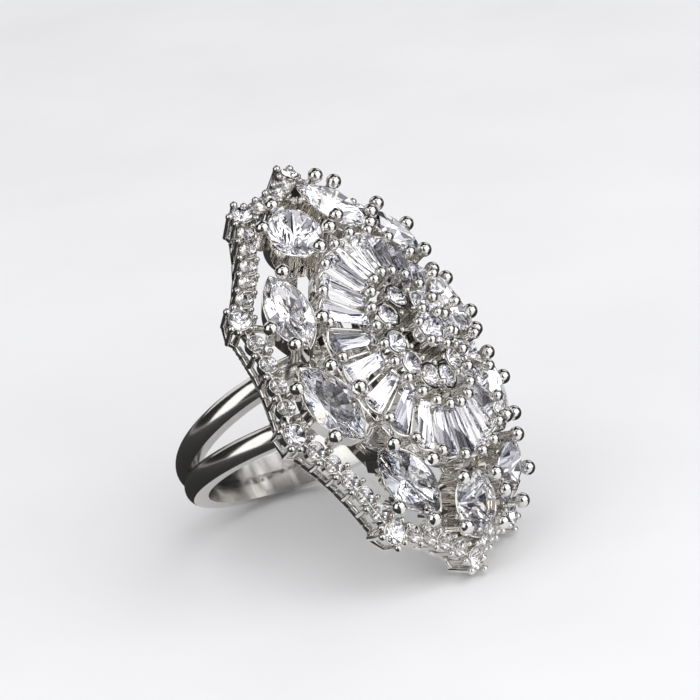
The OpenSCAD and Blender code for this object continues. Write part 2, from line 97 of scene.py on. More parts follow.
# Baskets round the marquises. Prongs stand a radius and a clearance out from the stone's edge
BASKET_RISE, BASKET_DEPTH, BASKET_WALL, BASKET_EDGE = 0.04, 2.2, 0.3, 0.07
PRONG_R, PRONG_CLEAR = 0.34, 0.14
Marquise = namedtuple("Marquise", "u v tilt spin length width pointed prongs")
MARQUISES = [Marquise(*row) for row in (
    (-14.15, -0.05, 14, 42, 7.2, 4.1, True, 0),
    (-11.8, -6, 34, -22, 6.5, 4.7, False, 1),
    (-4.7, -10.45, 38, -14, 7.7, 3.8, True, 2),
    (3.8, -10.5, 35, -9, 7.8, 3.9, True, 3),
    (11.6, -6.5, 38, 11, 7.8, 3.9, True, 4),
    (14.4, -0.3, 25, 88, 5.8, 4.8, False, 5),
    (12, 6, 28, -12, 7.3, 3.8, True, 6),
    (4.3, 10, 26, 0, 7.5, 3.8, True, 6),
    (-4.5, 10, 24, 0, 7.5, 3.8, True, 6),
    (-11.6, 6.3, 20, 4, 7.1, 3.8, True, 6),
)]
# Prong places on a marquise: part of the half length, side
PRONG_SETS = [
    [(0.6, -1), (-0.9, 1), (0.1, -1), (0, 1)],
    [(-0.85, -1), (0.15, -1), (0.85, 1), (0, 1)],
    [(-0.88, 1), (0.3, -1), (0.86, -1), (0.48, 1)],
    [(-0.7, -1), (0.55, -1), (0.12, 1), (-0.6, 1)],
    [(-0.88, 1), (0.1, -1), (0.88, -1), (0, 1)],
    [(-0.75, -1), (-0.75, 1), (0.62, -1), (0.66, 1)],
    [(-0.84, 1), (0.84, 1), (-0.4, -1), (0.55, -1)],
]

# Baguette tier: its oval, the place of its first stone, and its tilt at the tips and what the sides add
BAGUETTE_COUNT = 22
BAGUETTE_A, BAGUETTE_B, BAGUETTE_H, BAGUETTE_FIRST = 8.55, 6.75, 3.9, 3
BAGUETTE_TILT, BAGUETTE_SIDE_TILT = 7, 9
BAGUETTE_L, BAGUETTE_WIDE = 4.1, 1.85
# Prongs at both ends of the gaps, and the walls in them
BAGUETTE_ENDS = (-BAGUETTE_L / 2 - 0.2, BAGUETTE_L / 2 + 0.1)
WALL_HALF, WALL_Z = BAGUETTE_L / 2 + 0.1, -0.75
# Scalloped wire round an outer end: radius, half width, stretches to each side, ends, and bow of the middle
SCALLOP_R, SCALLOP_HALF, SCALLOP_STEPS = 0.13, BAGUETTE_WIDE / 2 + 0.1, 5
SCALLOP_X, SCALLOP_Z = BAGUETTE_L / 2 + 0.08, 0.12
SCALLOP_OUT, SCALLOP_DROP = 0.16, 0.3

# Cluster: its oval of stones, their collets, and the beads between them as parts of the oval
CLUSTER_ANGLES = [190, 236, 275, 307, 339, 14, 54, 97, 143]
CLUSTER_A, CLUSTER_B, CLUSTER_H, CLUSTER_TILT = 3.95, 3.38, 4.9, 8
CLUSTER_D, CLUSTER_WALL, CLUSTER_RISE, CLUSTER_DEPTH = 1.85, 0.3, 0.02, 1.2
INNER_BEADS_AT, OUTER_BEADS_AT = 0.66, 1.12
# Raised centre stone: its girdle, the foot and wall of its cup, and the prongs round it
CENTRE_H, CENTRE_D, CENTRE_FOOT, CENTRE_WALL = 6.3, 2.8, CLUSTER_H - 1.3, 0.3
CENTRE_PRONG_OUT = CENTRE_D / 2 + 0.36
CENTRE_PRONG_ANGLES = range(15, 375, 60)

# Ball prongs: radius of the stem and of the ball, height of the foot and of the ball, sides, foot to stem
FLARE = 1.18
PRONGS = {
    "inner_bead": (0.19, 0.25, -0.55, BEAD_Z, 16, FLARE),
    "outer_claw": (0.25, 0.3, -GALLERY_H - 0.1, BEAD_Z, 16, FLARE),
    "corner_claw": (0.24, 0.33, -GALLERY_H - 0.25, BEAD_Z, 18, 0.9),
    "corner_bead": (0.22, 0.25, -0.6, BEAD_Z, 18, FLARE),
    "marquise_prong": (PRONG_R + 0.05, 0.65, -1.3, 0.78, 28, FLARE),
    "baguette_prong": (0.3, 0.54, -1.6, 0.58, 24, FLARE),
    "cluster_inner_bead": (0.2, 0.27, -1.2, 0.12, 16, FLARE),
    "cluster_outer_bead": (0.26, 0.32, -1.2, 0.15, 20, FLARE),
    "centre_prong": (0.3, 0.46, CENTRE_FOOT, CENTRE_H + 0.28, 20, FLARE),
}
# Where a ball passes into its stem, and the waist: its part of the way to the foot and of the stem's radius
NECK_RISE, NECK_FALL = 0.02, 0.05
WAIST_AT, WAIST = 0.4, 0.96

# Bars: width, depth and the softening of the edges
ROW_BAR = (1, 0.8, 0.12)
LOWER_RAIL = (0.6, 0.5, 0.12)
CORNER_LINK = (0.42, 0.4, 0.12)
BAGUETTE_WALL = (0.18, 1.1, 0.04)
BEAM = (1.2, 1.5, 0.5)
RUNNER = (0.9, 0.8, 0.34)
PILLAR = (0.9, 0.9, 0.38)
STRUT = (0.6, 0.6, 0.25)

# Bars along a side of the border: how far they start from its ends, distance out, height, and kind
SIDE_BARS = [
    (ROW_DRAW, 0, ROW_Z, ROW_BAR),
    (RAIL_DRAW, BEAD_OUT, RAIL_Z, LOWER_RAIL),
]

# Under frame: its oval rails by half length, half width, width, bottom and top
RAIL_A, RAIL_B, RAIL_EDGE = 12.4, 9, 0.1
OVAL_RAILS = [
    (RAIL_A, RAIL_B, 1.1, -0.8, 0.5),
    (BAGUETTE_A + 1.8, BAGUETTE_B + 1.6, 0.7, 1.5, 2.3),
    (BAGUETTE_A - 2.2, BAGUETTE_B - 2.2, 0.7, 2.2, 3.1),
]
# Beams across the head, runners along it, and pillars where they cross
BEAM_U, BEAM_Z = 2.95, -1.05
RUNNER_V, RUNNER_Z = 2.4, -0.7
PILLAR_LOW, PILLAR_HIGH = -0.8, 3.6
# Struts from the lowest rail to the corners and up to the baguettes' outer rail
CORNER_STRUT_Z, CORNER_STRUT_REACH, CORNER_STRUT_DROP = -0.4, 0.95, 0.75
TIER_STRUT_A, TIER_STRUT_B, TIER_STRUT_LOW, TIER_STRUT_HIGH = BAGUETTE_A + 1.7, BAGUETTE_B + 1.5, -0.2, 1.7

# Resting pose of the ring, in millimetres and degrees
REST_SHIFT = (3.445, -0.536, 15.212)
REST_LEAN, REST_ROLL, REST_HEADING = 47.52, -25.94, -63

# Points closer than this are merged
MERGE_GAP = 0.0005
# Edges blunter than this are shaded smooth, in degrees, with more allowed on balls and wires
EDGE_ANGLE, ROUND_ANGLE = 40, 50

# Metal: blur of the mirror polish and of the worn shank, and what polishing marks add to it
MIRROR_BLUR, WORN_BLUR, MARK_BLUR = 0.035, 0.16, 0.05
# Clouds and marks to the metre, and the strength of the marks with their depth in metres
CLOUD_SCALE, MARK_SCALE = 900, 4200
MARK_STRENGTH, MARK_DEPTH = 0.02, 0.00002
METAL_TONES = [(0.3, (0.75, 0.73, 0.7, 1)), (0.7, (0.82, 0.805, 0.78, 1))]
# Stones: facets below a slope mirror inside, with a little blur, and normals within a step share one painted
# tone
PAVILION_SLOPE, INNER_BLUR, FACET_STEP = -0.05, 0.03, 0.02
# Painted sparkle of the facets of the brilliant cuts and the step cuts, from the rare painted dark
# reflections to the painted white glints; the brilliant cuts also get a few painted warm and cool glints of
# fire
WHITE = (1, 1, 1, 1)
BRILLIANT_PAINTED_SPARKLE = [
    (0.0, (0.03, 0.03, 0.035, 1)),
    (0.1, (0.24, 0.24, 0.27, 1)),
    (0.2, (0.78, 0.78, 0.83, 1)),
    (0.38, WHITE),
    (0.86, WHITE),
    (0.91, (1, 0.93, 0.83, 1)),
    (0.96, (0.9, 0.96, 1, 1)),
]
# Painted sparkle of the step cuts, from painted dark reflections to painted white glints
STEP_PAINTED_SPARKLE = [
    (0.0, (0.16, 0.16, 0.18, 1)),
    (0.12, (0.6, 0.6, 0.64, 1)),
    (0.26, (0.88, 0.88, 0.91, 1)),
    (0.5, WHITE),
]

# Camera of the photograph, in metres and degrees, and the mirror bounces that the stones need
CAMERA_PLACE = (-0.000402, -0.247655, 0.112324)
CAMERA_TURN = (68.758, 6.487, -2.81)
LENS_ANGLE = 12.567
CAMERA_REACH = (0.01, 10)
MIRROR_BOUNCES = 12

# Floor
FLOOR_SIZE = 3
FLOOR_TONES = [(0.3, (0.8, 0.8, 0.81, 1)), (0.7, (0.84, 0.84, 0.85, 1))]
# Air that mirrors see, by the sine of the elevation
HORIZON = [(0.02, (0.3, 0.3, 0.3, 1)), (0.12, (0.02, 0.02, 0.02, 1))]
# Air that shows through the stones: a cloud's scale, and its colours from dark cards to white light
CARD_SCALE = 2.6
CARDS = [
    (0.35, (0.03, 0.03, 0.04, 1)),
    (0.42, (0.34, 0.34, 0.38, 1)),
    (0.49, (0.92, 0.91, 0.94, 1)),
    (0.7, (1.12, 1.1, 1.08, 1)),
]
# Light that the air sheds on the floor and other dull things
SHED = (0.62, 0.62, 0.63, 1)
# Flag round the ring: its radii and height in metres, and the degrees to the right where it is left open
FLAG_INNER, FLAG_OUTER, FLAG_LIFT = 0.016, 0.9, 0.0004
FLAG_OPEN = (18, 72)
FLAG_COLOUR = (0.02, 0.02, 0.02, 1)
# Soft boxes: name, radiance, width, height, degrees to the right of the front, elevation, distance
LAMP_AIM = Vector((0, 0, 0.015))
LAMPS = [
    ("right_box", 1.45, 0.66, 0.5, 54, 33, 0.42),
    ("left_box", 1.3, 0.34, 0.46, -49, 31, 0.42),
    ("top_box", 1.2, 0.3, 0.14, 20, 80, 0.45),
    ("back_right_box", 0.8, 0.26, 0.3, 150, 32, 0.45),
    ("back_left_box", 0.8, 0.3, 0.3, -145, 32, 0.45),
]


# Places in the head frame


def turn(axis, angle):
    return Matrix.Rotation(radians(angle), 4, axis)


def shift(x, y, z):
    return Matrix.Translation((x, y, z))


LIE_DOWN = (Matrix.Scale(MM, 4) @ shift(*REST_SHIFT) @ turn("Z", REST_HEADING)
            @ turn("Y", REST_LEAN) @ turn("X", REST_ROLL))
HEAD_NORMAL = (LIE_DOWN.to_3x3() @ Vector((0, 0, 1))).normalized()


def fall(v):
    """How far the head's sheet falls away at v."""
    return CROSSFALL * v * v


def leaning(u, v, h, heading, tilt):
    """Frame of a stone at a height, which leans out towards a heading."""
    return shift(u, v, h) @ turn("Z", heading) @ turn("Y", tilt)


def corner_place(i):
    u, v, _ = CORNERS[i % len(CORNERS)]
    return Vector((u, v, -fall(v)))


class Side:
    """One side of the border: the frame of its tilted plane, and places along it."""

    def __init__(self, i):
        start, end = corner_place(i), corner_place(i + 1)
        span = end - start
        self.stones = CORNERS[i][2]
        self.length = span.length
        self.pitch = self.length / (self.stones - 1 + 2 * CORNER_ROOM)
        self.angle = degrees(atan2(span.y, span.x))
        slope = degrees(atan2(span.z, hypot(span.x, span.y)))
        self.frame = (Matrix.Translation((start + end) / 2) @ turn("Z", self.angle)
                      @ turn("Y", -slope) @ turn("X", BORDER_TILT))

    def stone(self, k):
        """Distance along the side of stone k, counted from 1."""
        return (k - (self.stones + 1) / 2) * self.pitch

    def stop(self, k, draw):
        """The same, or where k is past the stones, that of the side's end drawn in by a distance."""
        if k == 0:
            return draw - self.length / 2
        return self.length / 2 - draw if k > self.stones else self.stone(k)

    def bead(self, k):
        """Distance along the side of the pair of beads after stone k."""
        if k == 0:
            return self.stop(0, CORNER_BEAD)
        if k == self.stones:
            return self.stop(k + 1, CORNER_BEAD)
        return (self.stone(k) + self.stone(k + 1)) / 2

    def place(self, x, out=0, z=0):
        """Frame at a distance along the bowed side, moved out from its row and up."""
        return self.frame @ shift(x, SIDE_BOW * cos(pi * x / self.length) - out, z)


SIDES = [Side(i) for i in range(len(CORNERS))]


def on_corner(i):
    """Frame of a corner stone, turned half way between the two sides that meet there."""
    bend = (SIDES[i].angle - SIDES[i - 1].angle + 180) % 360 - 180
    return leaning(*corner_place(i), SIDES[i].angle - 90 - bend / 2, BORDER_TILT)


def on_marquise(m):
    heading = degrees(atan2(HEAD_OVAL * m.v, m.u))
    return leaning(m.u, m.v, MARQUISE_H - fall(m.v), heading, m.tilt) @ turn("Z", 90 - m.spin)


def baguette_angle(k):
    return radians(BAGUETTE_FIRST + 360 * k / BAGUETTE_COUNT)


def on_baguette_ring(k):
    """Frame of baguette k, or at k + 0.5 that of the gap after it."""
    t = baguette_angle(k)
    u, v = BAGUETTE_A * cos(t), BAGUETTE_B * sin(t)
    tilt = BAGUETTE_TILT + BAGUETTE_SIDE_TILT * abs(sin(t))
    return leaning(u, v, BAGUETTE_H - fall(v), degrees(atan2(v, u)), tilt)


def on_cluster(angle):
    t = radians(angle)
    return leaning(CLUSTER_A * cos(t), CLUSTER_B * sin(t), CLUSTER_H, angle, CLUSTER_TILT)


# Making pieces


def choose(*pieces):
    """Selects these pieces alone, and makes the first one active."""
    bpy.ops.object.select_all(action="DESELECT")
    for piece in pieces:
        piece.select_set(True)
    bpy.context.view_layer.objects.active = pieces[0]


def new_piece(name):
    """The primitive that was just added, with a name."""
    piece = bpy.context.view_layer.objects.active
    piece.name = name
    return piece


def edit(piece, mode="VERT"):
    """Opens the piece in edit mode with everything selected."""
    choose(piece)
    bpy.ops.object.mode_set(mode="EDIT")
    bpy.ops.mesh.select_mode(type=mode)
    bpy.ops.mesh.select_all(action="SELECT")


def leave():
    bpy.ops.object.mode_set(mode="OBJECT")


def pick(piece, kind, test):
    """Selects the faces, edges or vertices that pass a test, from edit mode."""
    leave()
    groups = {"VERT": piece.data.vertices, "EDGE": piece.data.edges, "FACE": piece.data.polygons}
    for group in groups.values():
        for element in group:
            element.select = False
    for element in groups[kind]:
        element.select = test(element)
    bpy.ops.object.mode_set(mode="EDIT")
    bpy.ops.mesh.select_mode(type=kind)


def apply_place():
    """Puts the place of the primitive that was just added into its mesh."""
    bpy.ops.object.transform_apply(location=True, rotation=True, scale=True)


def clean(piece, angle=EDGE_ANGLE):
    """Merges doubles, turns the faces outwards and shades by angle."""
    edit(piece)
    bpy.ops.mesh.remove_doubles(threshold=MERGE_GAP)
    bpy.ops.mesh.normals_make_consistent(inside=False)
    leave()
    bpy.ops.object.shade_smooth_by_angle(angle=radians(angle))
    return piece


def soften(piece, width, angle=30):
    """Rounds the edges that are sharper than an angle."""
    choose(piece)
    soft = piece.modifiers.new("soft", "BEVEL")
    soft.width, soft.segments = width, 2
    soft.limit_method, soft.angle_limit = "ANGLE", radians(angle)
    bpy.ops.object.modifier_apply(modifier="soft")
    return clean(piece)


def joined(name, parts):
    """Joins the parts into one piece."""
    choose(*parts)
    bpy.ops.object.join()
    piece = parts[0]
    piece.name = piece.data.name = name
    return piece


def copies(name, placed):
    """Joins a copy of each master at each of its places into one piece, and removes the masters."""
    made = []
    for master, place in placed:
        copy = master.copy()
        copy.data = master.data.copy()
        copy.data.transform(place)
        bpy.context.collection.objects.link(copy)
        made.append(copy)
    for master in dict.fromkeys(master for master, _ in placed):
        bpy.data.objects.remove(master)
    return joined(name, made)


def selected_loop(piece):
    """Mean height and greatest radius of the selected vertices, from edit mode."""
    leave()
    chosen = [vertex.co.copy() for vertex in piece.data.vertices if vertex.select]
    bpy.ops.object.mode_set(mode="EDIT")
    return sum(c.z for c in chosen) / len(chosen), max(hypot(c.x, c.y) for c in chosen)


def ball_prong(name):
    """A ball on a stem: its under side is drawn down into the neck, the waist and the foot."""
    stem, ball, low, high, sides, foot = PRONGS[name]
    bpy.ops.mesh.primitive_uv_sphere_add(segments=sides, ring_count=sides // 2 + 2, radius=ball,
                                         location=(0, 0, high))
    apply_place()
    prong = new_piece(name)
    neck = high - sqrt(ball * ball - stem * stem) + NECK_RISE
    waist = WAIST_AT * low + (1 - WAIST_AT) * neck
    edit(prong)
    pick(prong, "VERT", lambda vertex: vertex.co.z < neck)
    bpy.ops.mesh.delete(type="VERT")
    bpy.ops.mesh.select_all(action="SELECT")
    bpy.ops.mesh.region_to_loop()
    for z, r in ((neck - NECK_FALL, stem), (waist, WAIST * stem), (low, foot * stem)):
        bpy.ops.mesh.extrude_edges_move()
        height, reach = selected_loop(prong)
        bpy.ops.transform.resize(value=(r / reach, r / reach, 1), center_override=(0, 0, 0))
        bpy.ops.transform.translate(value=(0, 0, z - height))
    bpy.ops.mesh.edge_face_add()
    leave()
    return clean(prong, ROUND_ANGLE)


def tube(inner, outer, low, high, sides):
    """A short tube standing on z, with softened rims."""
    bpy.ops.mesh.primitive_cylinder_add(vertices=sides, radius=outer, depth=high - low,
                                        location=(0, 0, (low + high) / 2))
    apply_place()
    ring = new_piece("tube")
    edit(ring, "FACE")
    pick(ring, "FACE", lambda face: abs(face.normal.z) > 0.9)
    bpy.ops.mesh.inset(thickness=outer - inner)
    bpy.ops.mesh.bridge_edge_loops()
    leave()
    clean(ring)
    return soften(ring, RIM_EDGE)


def rod(start, end, width, depth, edge):
    """A bar with softened edges between two points of the head frame."""
    start, end = Vector(start), Vector(end)
    way = end - start
    bpy.ops.mesh.primitive_cube_add(size=1)
    bar = new_piece("rod")
    edit(bar)
    bpy.ops.transform.resize(value=(way.length, width, depth))
    bpy.ops.mesh.bevel(offset=edge, segments=3)
    leave()
    heading = degrees(atan2(way.y, way.x))
    rise = degrees(atan2(way.z, hypot(way.x, way.y)))
    bar.data.transform(Matrix.Translation((start + end) / 2) @ turn("Z", heading) @ turn("Y", -rise))
    return clean(bar)


def wire(name, points, radius):
    """A round wire through points, made a mesh."""
    curve = bpy.data.curves.new(name, "CURVE")
    curve.dimensions = "3D"
    curve.bevel_depth, curve.bevel_resolution = radius, 4
    curve.use_fill_caps = True
    path = curve.splines.new("POLY")
    path.points.add(len(points) - 1)
    for point, place in zip(path.points, points):
        point.co = (*place, 1)
    piece = bpy.data.objects.new(name, curve)
    bpy.context.collection.objects.link(piece)
    choose(piece)
    bpy.ops.object.convert(target="MESH")
    return clean(piece, ROUND_ANGLE)


def finished(piece, material):
    """Lays a piece made in the head frame down in the resting pose, and hands it to the ring."""
    piece.data.transform(LIE_DOWN)
    piece.data.materials.clear()
    piece.data.materials.append(material)
    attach(piece, "root")
    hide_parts("ring_mount")


# Materials


class Value:
    """A shader socket whose operators each add their Math node."""

    def __init__(self, shader, socket):
        self.shader, self.socket = shader, socket

    def _math(self, operation, *values):
        return self.shader.add("Math", {"operation": operation}, *values)

    def __add__(self, other):
        return self._math("ADD", self, other)

    def __radd__(self, other):
        return self._math("ADD", other, self)

    def __sub__(self, other):
        return self._math("SUBTRACT", self, other)

    def __rsub__(self, other):
        return self._math("SUBTRACT", other, self)

    def __mul__(self, other):
        return self._math("MULTIPLY", self, other)

    def __rmul__(self, other):
        return self._math("MULTIPLY", other, self)

    def __lt__(self, other):
        return self._math("LESS_THAN", self, other)


class Shader:
    """The nodes of a material or of the air, which add() makes and which end in one last shader."""

    def __init__(self, owner, last, **constants):
        owner.use_nodes = True
        self.owner = owner
        self.nodes, self.links = owner.node_tree.nodes, owner.node_tree.links
        self.last = self.nodes[last]
        for socket, value in constants.items():
            self.last.inputs[socket.replace("_", " ")].default_value = value

    def add(self, kind, settings=None, *values, out=None, **named):
        """Adds a node: its settings first, then the sockets in use in their order, or sockets by name."""
        node = self.nodes.new("ShaderNode" + kind)
        for key, value in (settings or {}).items():
            if key == "stops":
                ramp = node.color_ramp.elements
                while len(ramp) < len(value):
                    ramp.new(0.5)
                for element, (place, colour) in zip(ramp, value):
                    element.position, element.color = place, colour
            else:
                setattr(node, key, value)
        in_use = [socket for socket in node.inputs if socket.enabled]
        filled = [*zip(in_use, values)]
        filled += [(node.inputs[key.replace("_", " ")], value) for key, value in named.items()]
        for socket, value in filled:
            if isinstance(value, Value):
                self.links.new(value.socket, socket)
            else:
                socket.default_value = value
        given = [socket for socket in node.outputs if socket.enabled]
        return Value(self, node.outputs[out] if out else given[0])

    def feed(self, socket, value):
        """Links a value to a socket of the last shader."""
        self.links.new(value.socket, self.last.inputs[socket])


def new_finish(name, **constants):
    return Shader(bpy.data.materials.new(name), "Principled BSDF", **constants)


def polished_metal(name, blur):
    """Polished white metal: a slightly warm, faintly clouded body, with fine polishing marks in its gloss."""
    shader = new_finish(name, Metallic=1)
    place = shader.add("TexCoord", out="Object")
    cloud = shader.add("TexNoise", Vector=place, Scale=CLOUD_SCALE, Detail=3)
    marks = shader.add("TexNoise", Vector=place, Scale=MARK_SCALE, Detail=2)
    bump = shader.add("Bump", Strength=MARK_STRENGTH, Distance=MARK_DEPTH, Height=marks)
    shader.feed("Base Color", shader.add("ValToRGB", {"stops": METAL_TONES}, cloud))
    shader.feed("Roughness", blur + MARK_BLUR * cloud * marks)
    shader.feed("Normal", bump)
    return shader.owner


def cut_stone(name, painted_sparkle):
    """Colourless cut stone: the crown lets light in, the facets below the girdle throw it back inside, and
    each facet's colour is painted sparkle, from painted dark reflections to painted glints.
    """
    shader = new_finish(name, IOR=1.5, Transmission_Weight=1)
    facet = shader.add("NewGeometry", out="True Normal")
    inside = shader.add("NewGeometry", out="Backfacing")
    rise = shader.add("VectorMath", {"operation": "DOT_PRODUCT"}, facet, tuple(HEAD_NORMAL))
    # From inside the stone the normal comes turned round, so it is turned back there
    mirror = (rise * (1 - 2 * inside) < PAVILION_SLOPE) * inside
    shader.feed("Metallic", mirror)
    shader.feed("Roughness", INNER_BLUR * mirror)
    # Each facet's colour is painted sparkle: a painted dark reflection, grey, white glint or coloured glint
    # of fire, picked at random by its normal
    snapped = shader.add("VectorMath", {"operation": "SNAP"}, facet, (FACET_STEP,) * 3)
    chance = shader.add("TexWhiteNoise", {"noise_dimensions": "3D"}, snapped)
    shader.feed("Base Color", shader.add("ValToRGB", {"stops": painted_sparkle}, chance))
    return shader.owner


def floor_finish():
    """Pale matt floor with faint clouds."""
    shader = new_finish("pale_floor", Roughness=0.55)
    place = shader.add("TexCoord", out="Object")
    cloud = shader.add("TexNoise", Vector=place, Scale=40, Detail=4)
    shader.feed("Base Color", shader.add("ValToRGB", {"stops": FLOOR_TONES}, cloud))
    return shader.owner


# Metalwork


def shank_band(side):
    """A crowned band: its section is spun round the finger, and the finger hole cut through it."""
    middle = FINGER_R + BAND_T - BAND_CROWN
    bpy.ops.mesh.primitive_circle_add(vertices=SECTION_SIDES, radius=BAND_CROWN, fill_type="NGON",
                                      location=(0, 0, middle), rotation=(pi / 2, 0, 0))
    apply_place()
    band = new_piece("shank_band")
    edit(band)
    for place, normal in (((BAND_W / 2, 0, 0), (1, 0, 0)), ((-BAND_W / 2, 0, 0), (-1, 0, 0)),
                          ((0, 0, FINGER_R - BORE_SPARE), (0, 0, -1))):
        bpy.ops.mesh.select_all(action="SELECT")
        bpy.ops.mesh.bisect(plane_co=place, plane_no=normal, clear_outer=True)
    bpy.ops.mesh.select_all(action="SELECT")
    bpy.ops.mesh.delete(type="ONLY_FACE")
    bpy.ops.mesh.select_all(action="SELECT")
    bpy.ops.mesh.spin(steps=SHANK_STEPS, angle=2 * pi, center=(0, 0, 0), axis=(1, 0, 0))
    leave()
    clean(band)
    band.data.transform(shift(side * BAND_SPREAD, 0, -SHANK_DROP) @ turn("Y", side * BAND_LEAN))
    bpy.ops.mesh.primitive_cylinder_add(vertices=SHANK_STEPS, radius=FINGER_R, depth=CUTTER_L,
                                        location=(0, 0, -SHANK_DROP), rotation=(0, pi / 2, 0))
    finger = new_piece("finger")
    choose(band)
    hole = band.modifiers.new("hole", "BOOLEAN")
    hole.object, hole.operation, hole.solver = finger, "DIFFERENCE", "EXACT"
    bpy.ops.object.modifier_apply(modifier="hole")
    bpy.data.objects.remove(finger)
    return soften(band, SHANK_EDGE, angle=40)


def shank():
    return joined("shank", [shank_band(-1), shank_band(1)])


def border_collets():
    """Thin collets up to the girdles of the border stones."""
    small = tube(MELEE_D / 2 + RIM_GAP, MELEE_D / 2 + RIM_WALL, -COLLET_H, 0, sides=32)
    large = tube(CORNER_D / 2 + RIM_GAP, CORNER_D / 2 + RIM_WALL, -COLLET_H, 0, sides=36)
    placed = [(large, on_corner(i)) for i in range(len(CORNERS))]
    for side in SIDES:
        placed += [(small, side.place(side.stone(k))) for k in range(1, side.stones + 1)]
    return copies("border_collets", placed)


def border_beads():
    """Beads between the border stones, the outer ones on claws down to the lower rail."""
    bead, claw = ball_prong("inner_bead"), ball_prong("outer_claw")
    corner_claw, corner_bead = ball_prong("corner_claw"), ball_prong("corner_bead")
    placed = []
    for i, side in enumerate(SIDES):
        for k in range(side.stones + 1):
            placed.append((bead, side.place(side.bead(k), -BEAD_OUT)))
            placed.append((claw, side.place(side.bead(k), BEAD_OUT)))
        for source, angle in ((corner_claw, -CLAW_TURN), (corner_claw, CLAW_TURN), (corner_bead, 180)):
            placed.append((source, on_corner(i) @ turn("Z", angle) @ shift(CLAW_OUT, 0, 0)))
    return copies("border_beads", placed)


def border_rails():
    """Bars under the rows of collets, and the lower rail with its teeth, led round the corner claws' feet."""
    bpy.ops.mesh.primitive_ico_sphere_add(subdivisions=2, radius=TOOTH_R)
    tooth = new_piece("tooth")
    edit(tooth)
    bpy.ops.transform.resize(value=(1, 1, TOOTH_STRETCH))
    leave()
    parts, teeth, ends = [], [], []
    for side in SIDES:
        for k in range(side.stones + 1):
            for draw, out, z, bar in SIDE_BARS:
                start = side.place(side.stop(k, draw), out, z).translation
                end = side.place(side.stop(k + 1, draw), out, z).translation
                parts.append(rod(start, end, *bar))
        first = side.stop(0, RAIL_DRAW)
        ends.append([side.place(x, BEAD_OUT, RAIL_Z).translation for x in (first, -first)])
        count = int(-2 * first / TOOTH_PITCH)
        for k in range(count + 1):
            place = side.place(first * (1 - 2 * k / count), TOOTH_OUT, TOOTH_Z)
            teeth.append((tooth, Matrix.Translation(place.translation)))
    foot = Vector((LINK_OUT, 0, LINK_Z))
    for i, (start, _) in enumerate(ends):
        feet = [on_corner(i) @ turn("Z", angle) @ foot for angle in (-CLAW_TURN, CLAW_TURN)]
        route = [ends[i - 1][1], *feet, start]
        parts += [rod(here, there, *CORNER_LINK) for here, there in zip(route, route[1:])]
    parts.append(copies("teeth", teeth))
    return joined("border_rails", parts)


def half_width_at(length, width, pointed, x):
    """Half the width of a pointed or an oval stone, at x from its middle."""
    if pointed:
        r = ((length / 2) ** 2 + (width / 2) ** 2) / width
        return sqrt(r * r - x * x) - r + width / 2
    return width / 2 * sqrt(max(0, 1 - (2 * x / length) ** 2))


def basket(m):
    """A thin wall round a marquise, with a softened rim.

    Known fault: on the pointed walls clean() leaves the faces turned inward. The oval ones are right.
    """
    bpy.ops.mesh.primitive_circle_add(vertices=64, radius=1)
    wall = new_piece("basket")
    half = m.length / 2 + SEAT_GAP
    for vertex in wall.data.vertices:
        x = half * vertex.co.x
        y = half_width_at(2 * half, m.width + 2 * SEAT_GAP, m.pointed, x)
        vertex.co = (x, y if vertex.co.y >= 0 else -y, BASKET_RISE)
    edit(wall)
    bpy.ops.mesh.extrude_edges_move(TRANSFORM_OT_translate={"value": (0, 0, -BASKET_DEPTH)})
    leave()
    thick = wall.modifiers.new("thick", "SOLIDIFY")
    thick.thickness, thick.offset, thick.use_even_offset = BASKET_WALL, 1, True
    bpy.ops.object.modifier_apply(modifier="thick")
    clean(wall)
    return soften(wall, BASKET_EDGE, angle=50)


def marquise_baskets():
    return copies("marquise_baskets", [(basket(m), on_marquise(m)) for m in MARQUISES])


def marquise_prongs():
    """Balls over the edges of the marquises, each at its own place."""
    prong = ball_prong("marquise_prong")
    placed = []
    for m in MARQUISES:
        for part, side in PRONG_SETS[m.prongs]:
            x = part * m.length / 2
            y = side * (half_width_at(m.length, m.width, m.pointed, x) + PRONG_R + PRONG_CLEAR)
            placed.append((prong, on_marquise(m) @ shift(x, y, 0)))
    return copies("marquise_prongs", placed)


def baguette_walls():
    """Thin walls between the baguettes."""
    wall = rod((-WALL_HALF, 0, WALL_Z), (WALL_HALF, 0, WALL_Z), *BAGUETTE_WALL)
    return copies("baguette_walls", [(wall, on_baguette_ring(k + 0.5)) for k in range(BAGUETTE_COUNT)])


def baguette_rims():
    """A bright scalloped wire round the outer end of each baguette, from ball to ball."""
    points = []
    for k in range(-SCALLOP_STEPS, SCALLOP_STEPS + 1):
        y = SCALLOP_HALF * k / SCALLOP_STEPS
        arch = 1 - (y / SCALLOP_HALF) ** 2
        points.append((SCALLOP_X + SCALLOP_OUT * arch, y, SCALLOP_Z - SCALLOP_DROP * arch))
    rim = wire("rim", points, SCALLOP_R)
    return copies("baguette_rims", [(rim, on_baguette_ring(k)) for k in range(BAGUETTE_COUNT)])


def baguette_prongs():
    """A ball at both ends of each gap between the baguettes."""
    prong = ball_prong("baguette_prong")
    return copies("baguette_prongs", [(prong, on_baguette_ring(k + 0.5) @ shift(x, 0, 0))
                                      for k in range(BAGUETTE_COUNT) for x in BAGUETTE_ENDS])


def cluster_collets():
    r = CLUSTER_D / 2
    collet = tube(r + SEAT_GAP, r + CLUSTER_WALL, -CLUSTER_DEPTH, CLUSTER_RISE, sides=36)
    return copies("cluster_collets", [(collet, on_cluster(angle)) for angle in CLUSTER_ANGLES])


